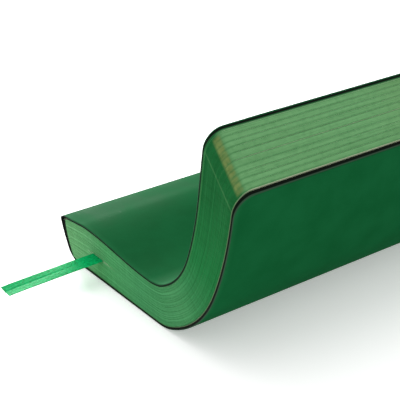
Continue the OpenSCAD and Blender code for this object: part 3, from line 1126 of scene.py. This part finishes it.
@dataclass
class PageBlock:
    """Ten sewn signatures of twelve leaves each, with their flyleaves."""

    shape: BookShape
    paints: Paints
    leaves: int = 12
    pitch: float = 1.2
    rows: int = 43
    groove: float = 0.03
    fold_groove: float = 0.1
    jitter: float = 0.03
    ribbon_u: float = 20.3
    ribbon_head_u: float = 4.8
    ribbon_half: float = 3.5
    ribbon_play: float = 0.3
    shuts_over: float = 11.0
    shuts_at_spine: float = 3.0
    shuts_at_fold: float = 2.5
    fold_r: float = 0.3
    closed_gap: float = 0.02

    def build(self) -> None:
        """Builds each signature, from the front cover to the back, and both flyleaves."""
        shape = self.shape
        half = shape.gatherings // 2
        for number in range(1, shape.gatherings + 1):
            if number <= half:
                low = shape.front_to - number * shape.gathering_t
            else:
                low = shape.rear_to - (number - half) * shape.gathering_t
            body = "front_block" if number <= half else "rear_block"
            self.signature(number, low, body)
        self.flyleaf("front_flyleaf_sheet", shape.front_to, "front_block", "front_flyleaf")
        low = shape.rear_from - shape.leaf_t
        self.flyleaf("back_flyleaf_sheet", low, "rear_block", "back_flyleaf")

    def fold_angles(self) -> Array:
        """Angles round a signature's fold at which its first columns lie."""
        return np.radians([18.0, 35.0, 55.0, 75.0])

    def levels(self, low: float, seed: int) -> Path:
        """Levels at each leaf's faces and middle, and how far in each lies.

        Args:
            low: depth of the signature's lower face.
            seed: seed of its leaves' unevenness.
        Returns:
            The levels and their insets.
        """
        count = 2 * self.leaves + 1
        levels = low + np.linspace(0, self.shape.gathering_t, count)
        uneven = np.random.default_rng(SEED + seed).uniform(0, self.jitter, self.leaves)
        insets = np.full(count, self.groove) + self.jitter
        insets[1::2] = uneven
        insets[0] = insets[-1] = self.fold_groove
        return levels, insets

    def signature(self, number: int, low: float, body: str) -> None:
        """Builds one signature.

        Args:
            number: its number, from the front cover.
            low: depth of its lower face.
            body: the body it rides on.
        """
        shape = self.shape
        levels, insets = self.levels(low, number)
        mid = low + shape.gathering_t / 2
        radius = self.fold_r
        start = shape.fold_u(mid)
        fold = self.fold_angles()
        page, corner = stations(shape, start + radius, self.pitch)
        columns = np.concatenate((start + radius * (1 - np.cos(fold)), page))
        corner = np.concatenate((np.zeros(len(fold)), corner))
        wander = np.random.default_rng(SEED * number).uniform(0, math.tau, (len(levels), 2))

        def section(v: Array, d: Array) -> Path:
            """A place in the signature, rounded at its fold."""
            share = np.clip((start + radius - v) / radius, 0, 1)
            return shape.slid(v, d), mid + (d - mid) * np.sqrt(1 - share**2)

        def relief(level: Array, v: Array, y: Array) -> Array:
            """How unevenly each leaf was trimmed along its edge."""
            waves = np.sin(v / 9 + wander[level, 0]) + np.sin(y / 13 + wander[level, 1])
            return self.jitter / 3 * waves

        layer = Layer(
            f"page_gathering_{number:02d}", shape, columns, corner, levels, section,
            rows=self.rows, insets=insets, relief=relief,
        )
        piece = layer.build()
        if number in (shape.gatherings // 2, shape.gatherings // 2 + 1):
            self.close_round_ribbon(piece, levels)
        dress(piece, self.paints.paper, self.paints.paper, self.paints.edges)
        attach(piece, body)
        hand_over(piece, "page_block", f"signature_{number:02d}")

    def close_round_ribbon(self, piece: Piece, levels: Array) -> None:
        """Lets the leaves at the middle close together, except round the ribbon.

        Args:
            piece: one of the two signatures at the middle.
            levels: its levels.
        """
        shape = self.shape
        flat = np.empty(len(piece.data.vertices) * 3)
        piece.data.attributes["flat"].data.foreach_get("vector", flat)
        u, y, d = flat.reshape(-1, 3).T
        share = (y + shape.height / 2) / shape.height
        line = self.ribbon_u + (self.ribbon_head_u - self.ribbon_u) * share
        off = u - line
        past = np.abs(off) - self.ribbon_half - self.ribbon_play
        shut = ease(past / np.where(off > 0, self.shuts_over, self.shuts_at_spine))
        shut = shut * ease((u - shape.fold_u(shape.middle)) / self.shuts_at_fold)
        above = levels[0] > shape.middle
        depth = (levels[-1] - d if above else d - levels[0]) / shape.gathering_t
        move = (shape.ribbon_gap / 2 - self.closed_gap) * shut * np.clip(depth, 0, 1)
        step = -move if above else move
        x, z = shape.spot(u + shape.slid(u, step) - u, d + step)
        points = points_of(piece)
        points[:, 0] = (x - shape.mid_x) * MM
        points[:, 2] = z * MM
        move_points(piece, points)
        finish_mesh(piece)

    def flyleaf(self, name: str, low: float, body: str, node: str) -> None:
        """Builds a flyleaf that lies on the block."""
        shape = self.shape
        columns, corner = stations(shape, shape.fold_u(low) + 0.5, self.pitch)
        levels = np.linspace(low, low + shape.leaf_t, 3)
        insets = np.array([0.03, 0.0, 0.03])
        section = sliding_section(shape)
        piece = Layer(name, shape, columns, corner, levels, section, insets=insets).build()
        dress(piece, self.paints.endpaper, self.paints.endpaper, self.paints.edges)
        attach(piece, body)
        hand_over(piece, "endpaper", node)


@dataclass
class SpineGauze:
    """Gauze glued on the folds, and the thread that sews them."""

    shape: BookShape
    paints: Paints
    trim: float = 2.0
    glue: float = 0.05
    pitch: float = 0.35
    rows: int = 61
    below_edge: float = 0.5

    def build(self) -> None:
        """Builds both strips of gauze and finishes the sewing threads."""
        shape = self.shape
        rear_from = shape.back_edge_r
        self.strip("rear_gauze", rear_from, shape.rear_to, "rear_block", "rear_spine_lining")
        front_from = shape.rear_to + shape.ribbon_gap
        front_to = shape.spine_t - shape.front_edge_r - self.below_edge
        self.strip("front_gauze", front_from, front_to, "front_block", "front_spine_lining")
        for name in ("front_sewing_thread", "rear_sewing_thread"):
            for slot in frame["nodes"][name].material_slots:
                slot.material = self.paints.thread
            log.info("finished %s", name)

    def strip(self, name: str, low: float, high: float, body: str, node: str) -> None:
        """Builds one strip of gauze between two depths on the spine."""
        shape = self.shape
        columns = np.linspace(low, high, math.ceil((high - low) / self.pitch))
        levels = np.linspace(shape.skin_t + self.glue, shape.block_inset - self.glue, 3)
        piece = Layer(
            name, shape, columns, np.zeros(len(columns)), levels, spine_section(shape),
            rows=self.rows, insets=np.array([0.05, 0.0, 0.05]), trim=self.trim,
        ).build()
        dress(piece, self.paints.gauze, self.paints.gauze, self.paints.gauze)
        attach(piece, body)
        hand_over(piece, "spine_gauze", node)


@dataclass
class Ribbon:
    """Woven ribbon marker: the length between the pages, and its free end."""

    shape: BookShape
    paints: Paints
    width: float = 7.0
    thickness: float = 0.28
    tilt: float = -2.0
    rib: float = 0.46
    rib_rise: float = 0.022
    tooth: float = 0.07
    crease: float = 0.1
    crease_half: float = 0.5
    crease_from: float = 10.0
    curl: float = 0.25
    curl_from: float = 22.0
    sets_in_over: float = 20.0
    lies_above: float = 0.02
    head_tuck: float = 4.0
    x: float = -28.0
    route: tuple[tuple[float, float], ...] = (
        (-97, 8.7), (-100, 8.7), (-103, 8.7), (-106, 8.7), (-109, 8.68),
        (-112, 8.65), (-115, 8.6), (-118, 8.52), (-121, 8.45), (-124, 8.35),
        (-127, 8.25), (-130, 8.12), (-133, 8.0), (-136, 7.87), (-139.5, 7.72),
    )

    def build(self) -> None:
        """Builds the free end, which is the cord, and then the length in the book."""
        self.free_end()
        self.in_book()

    def woven_slab(
        self, name: str, length: float, pitch: float, rows: int
    ) -> tuple[Piece, Array]:
        """Models a flat woven strip with ribs across it and toothed edges.

        Args:
            name: name of the piece.
            length: length of the strip.
            pitch: about how far apart its points are along it.
            rows: number of points across it.
        Returns:
            The strip, and for each point its place along, across and off the middle.
        """
        columns = math.ceil(length / pitch) + 1
        piece = cell_slab(name, columns, rows, 3)
        i, j, k = np.rint(points_of(piece)).astype(int).T
        along = i / (columns - 1) * length
        across = (j / (rows - 1) - 0.5) * self.width
        wave = np.sin(along / self.rib * math.tau)
        at_edge = (j == 0) | (j == rows - 1)
        across = across - np.where(at_edge, np.sign(across) * self.tooth * (0.5 - 0.5 * wave), 0)
        plies = np.sin(j * math.pi / 2)
        ribs = self.rib_rise * (wave * (0.7 + 0.3 * plies) - 1)
        face = np.sign(k - 1) * (self.thickness / 2 + ribs)
        off = np.where(at_edge, face * 0.35, face)
        keep_vector(piece, "flat", np.stack((across, along, off), axis=1))
        return piece, np.stack((along, across, off), axis=1)

    def free_end(self) -> None:
        """The end of the ribbon that comes out of the foot."""
        line = np.array(self.route)
        steps = np.hypot(np.diff(line[:, 0]), np.diff(line[:, 1]))
        run = np.concatenate(([0.0], np.cumsum(steps)))
        length = float(run[-1])
        piece, strip = self.woven_slab("ribbon_free_end", length, 0.115, 29)
        along, across, off = strip.T
        y = np.interp(along, run, line[:, 0])
        z = np.interp(along, run, line[:, 1])
        creased = ease((along - self.crease_from) / self.sets_in_over)
        crease = -self.crease * np.exp(-((across / self.crease_half) ** 2)) * creased
        curled = ease((along - self.curl_from) / self.sets_in_over)
        curl = self.curl * (across / (self.width / 2)) ** 2 * curled
        lift = off + crease + curl
        tilt = math.radians(self.tilt)
        x = self.x + across * math.cos(tilt) - lift * math.sin(tilt)
        z = z + across * math.sin(tilt) + lift * math.cos(tilt)
        move_points(piece, np.stack((x, y, z), axis=1) * MM)
        finish_mesh(piece)
        piece.data.materials.append(self.paints.ribbon)
        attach(piece, "rear_block")
        hand_over(piece, "ribbon", "ribbon_tail")
        log.info("the ribbon's free end is %.1f mm long", length)

    def in_book(self) -> None:
        """The length that lies between the two halves of the block."""
        shape = self.shape
        foot_y = self.route[0][0]
        head_y = shape.height / 2 - self.head_tuck
        foot_u = self.x + shape.mid_x
        head_u = shape.fold_u(shape.middle) + self.width / 2 + 1
        length = math.hypot(head_y - foot_y, head_u - foot_u)
        piece, strip = self.woven_slab("ribbon_in_book", length, 0.23, 9)
        along, across, off = strip.T
        share = along / length
        y = foot_y + (head_y - foot_y) * share
        u = foot_u + (head_u - foot_u) * share + across
        x, z = shape.spot(u, shape.rear_to + self.lies_above + self.thickness / 2 + off)
        move_points(piece, np.stack((x - shape.mid_x, y, z), axis=1) * MM)
        finish_mesh(piece)
        piece.data.materials.append(self.paints.ribbon)
        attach(piece, "rear_block")
        hand_over(piece, "ribbon", "ribbon_marker")


# ---------------------------------------------------------------- the studio


@dataclass
class Studio:
    """Camera, floor and soft light."""

    bearing: float = 56.766
    elevation: float = 24.272
    roll: float = -3.281
    distance: float = 0.36614
    aim: tuple[float, float, float] = (-0.02894, -0.06154, 0.01685)
    lens: float = 91.74
    sensor: float = 36.0
    floor_size: float = 8.0
    floor_drop: float = 0.0002
    sky: float = 0.82
    floor_glow: float = 0.35
    lights: tuple[tuple[str, tuple[float, float, float], float, float], ...] = (
        ("top", (-0.2, 0.0, 1.2), 1.2, 5.0),
        ("side", (-1.2, 0.35, 0.26), 0.4, 42.0),
    )

    def place_camera(self) -> None:
        """Sets the camera at its bearing, elevation and roll round the aim."""
        bearing, up, roll = (math.radians(a) for a in (self.bearing, self.elevation, self.roll))
        level = Vector((-math.sin(bearing), math.cos(bearing), 0))
        side = Vector((math.cos(bearing), math.sin(bearing), 0))
        look = level * math.cos(up) - Vector((0, 0, 1)) * math.sin(up)
        head = level * math.sin(up) + Vector((0, 0, 1)) * math.cos(up)
        right = side * math.cos(roll) + head * math.sin(roll)
        top = head * math.cos(roll) - side * math.sin(roll)
        camera = bpy.data.cameras.new("camera")
        camera.lens = self.lens
        camera.sensor_width = self.sensor
        camera.clip_start = 0.01
        holder = bpy.data.objects.new("camera", camera)
        turn = Matrix((right, top, -look)).transposed().to_4x4()
        turn.translation = Vector(self.aim) - look * self.distance
        holder.matrix_world = turn
        bpy.context.scene.collection.objects.link(holder)
        bpy.context.scene.camera = holder

    def lay_floor(self) -> None:
        """Lays a plain pale floor."""
        deselect()
        bpy.ops.mesh.primitive_plane_add(size=self.floor_size, location=(0, 0, -self.floor_drop))
        floor = bpy.context.object
        floor.name = "floor"
        bpy.ops.object.transform_apply(location=True, rotation=True, scale=True)
        material = bpy.data.materials.new("pale_floor")
        material.use_nodes = True
        shader = material.node_tree.nodes["Principled BSDF"]
        shader.inputs["Base Color"].default_value = (0.93, 0.93, 0.93, 1)
        shader.inputs["Roughness"].default_value = 0.9
        shader.inputs["Emission Color"].default_value = (1, 1, 1, 1)
        shader.inputs["Emission Strength"].default_value = self.floor_glow
        floor.data.materials.append(material)

    def area(self, name: str, place: Vector, size: float, power: float) -> None:
        """Hangs a square soft light that looks at the book."""
        lamp = bpy.data.lights.new(name, "AREA")
        lamp.shape = "SQUARE"
        lamp.size = size
        lamp.energy = power
        holder = bpy.data.objects.new(name, lamp)
        holder.location = place
        holder.rotation_euler = (Vector((0, 0, 0.03)) - place).to_track_quat("-Z", "Y").to_euler()
        bpy.context.scene.collection.objects.link(holder)

    def light(self) -> None:
        """Lights the stage from all round, from above, and low from the spine's side."""
        world = bpy.data.worlds.new("studio")
        world.use_nodes = True
        back = world.node_tree.nodes["Background"]
        back.inputs["Color"].default_value = (1, 1, 1, 1)
        back.inputs["Strength"].default_value = self.sky
        bpy.context.scene.world = world
        for name, place, size, power in self.lights:
            self.area(name, Vector(place), size, power)
        bpy.context.scene.view_settings.view_transform = "Standard"


def main() -> None:
    """Builds the notebook in the order it is put together."""
    logging.basicConfig(level=logging.INFO, format="%(name)s: %(message)s")
    studio = Studio()
    studio.place_camera()
    shape = BookShape()
    paints = Paints(shape)
    Ribbon(shape, paints).build()
    PageBlock(shape, paints).build()
    SpineGauze(shape, paints).build()
    Covers(shape, paints).build()
    studio.lay_floor()
    studio.light()


if __name__ == "__main__":
    main()
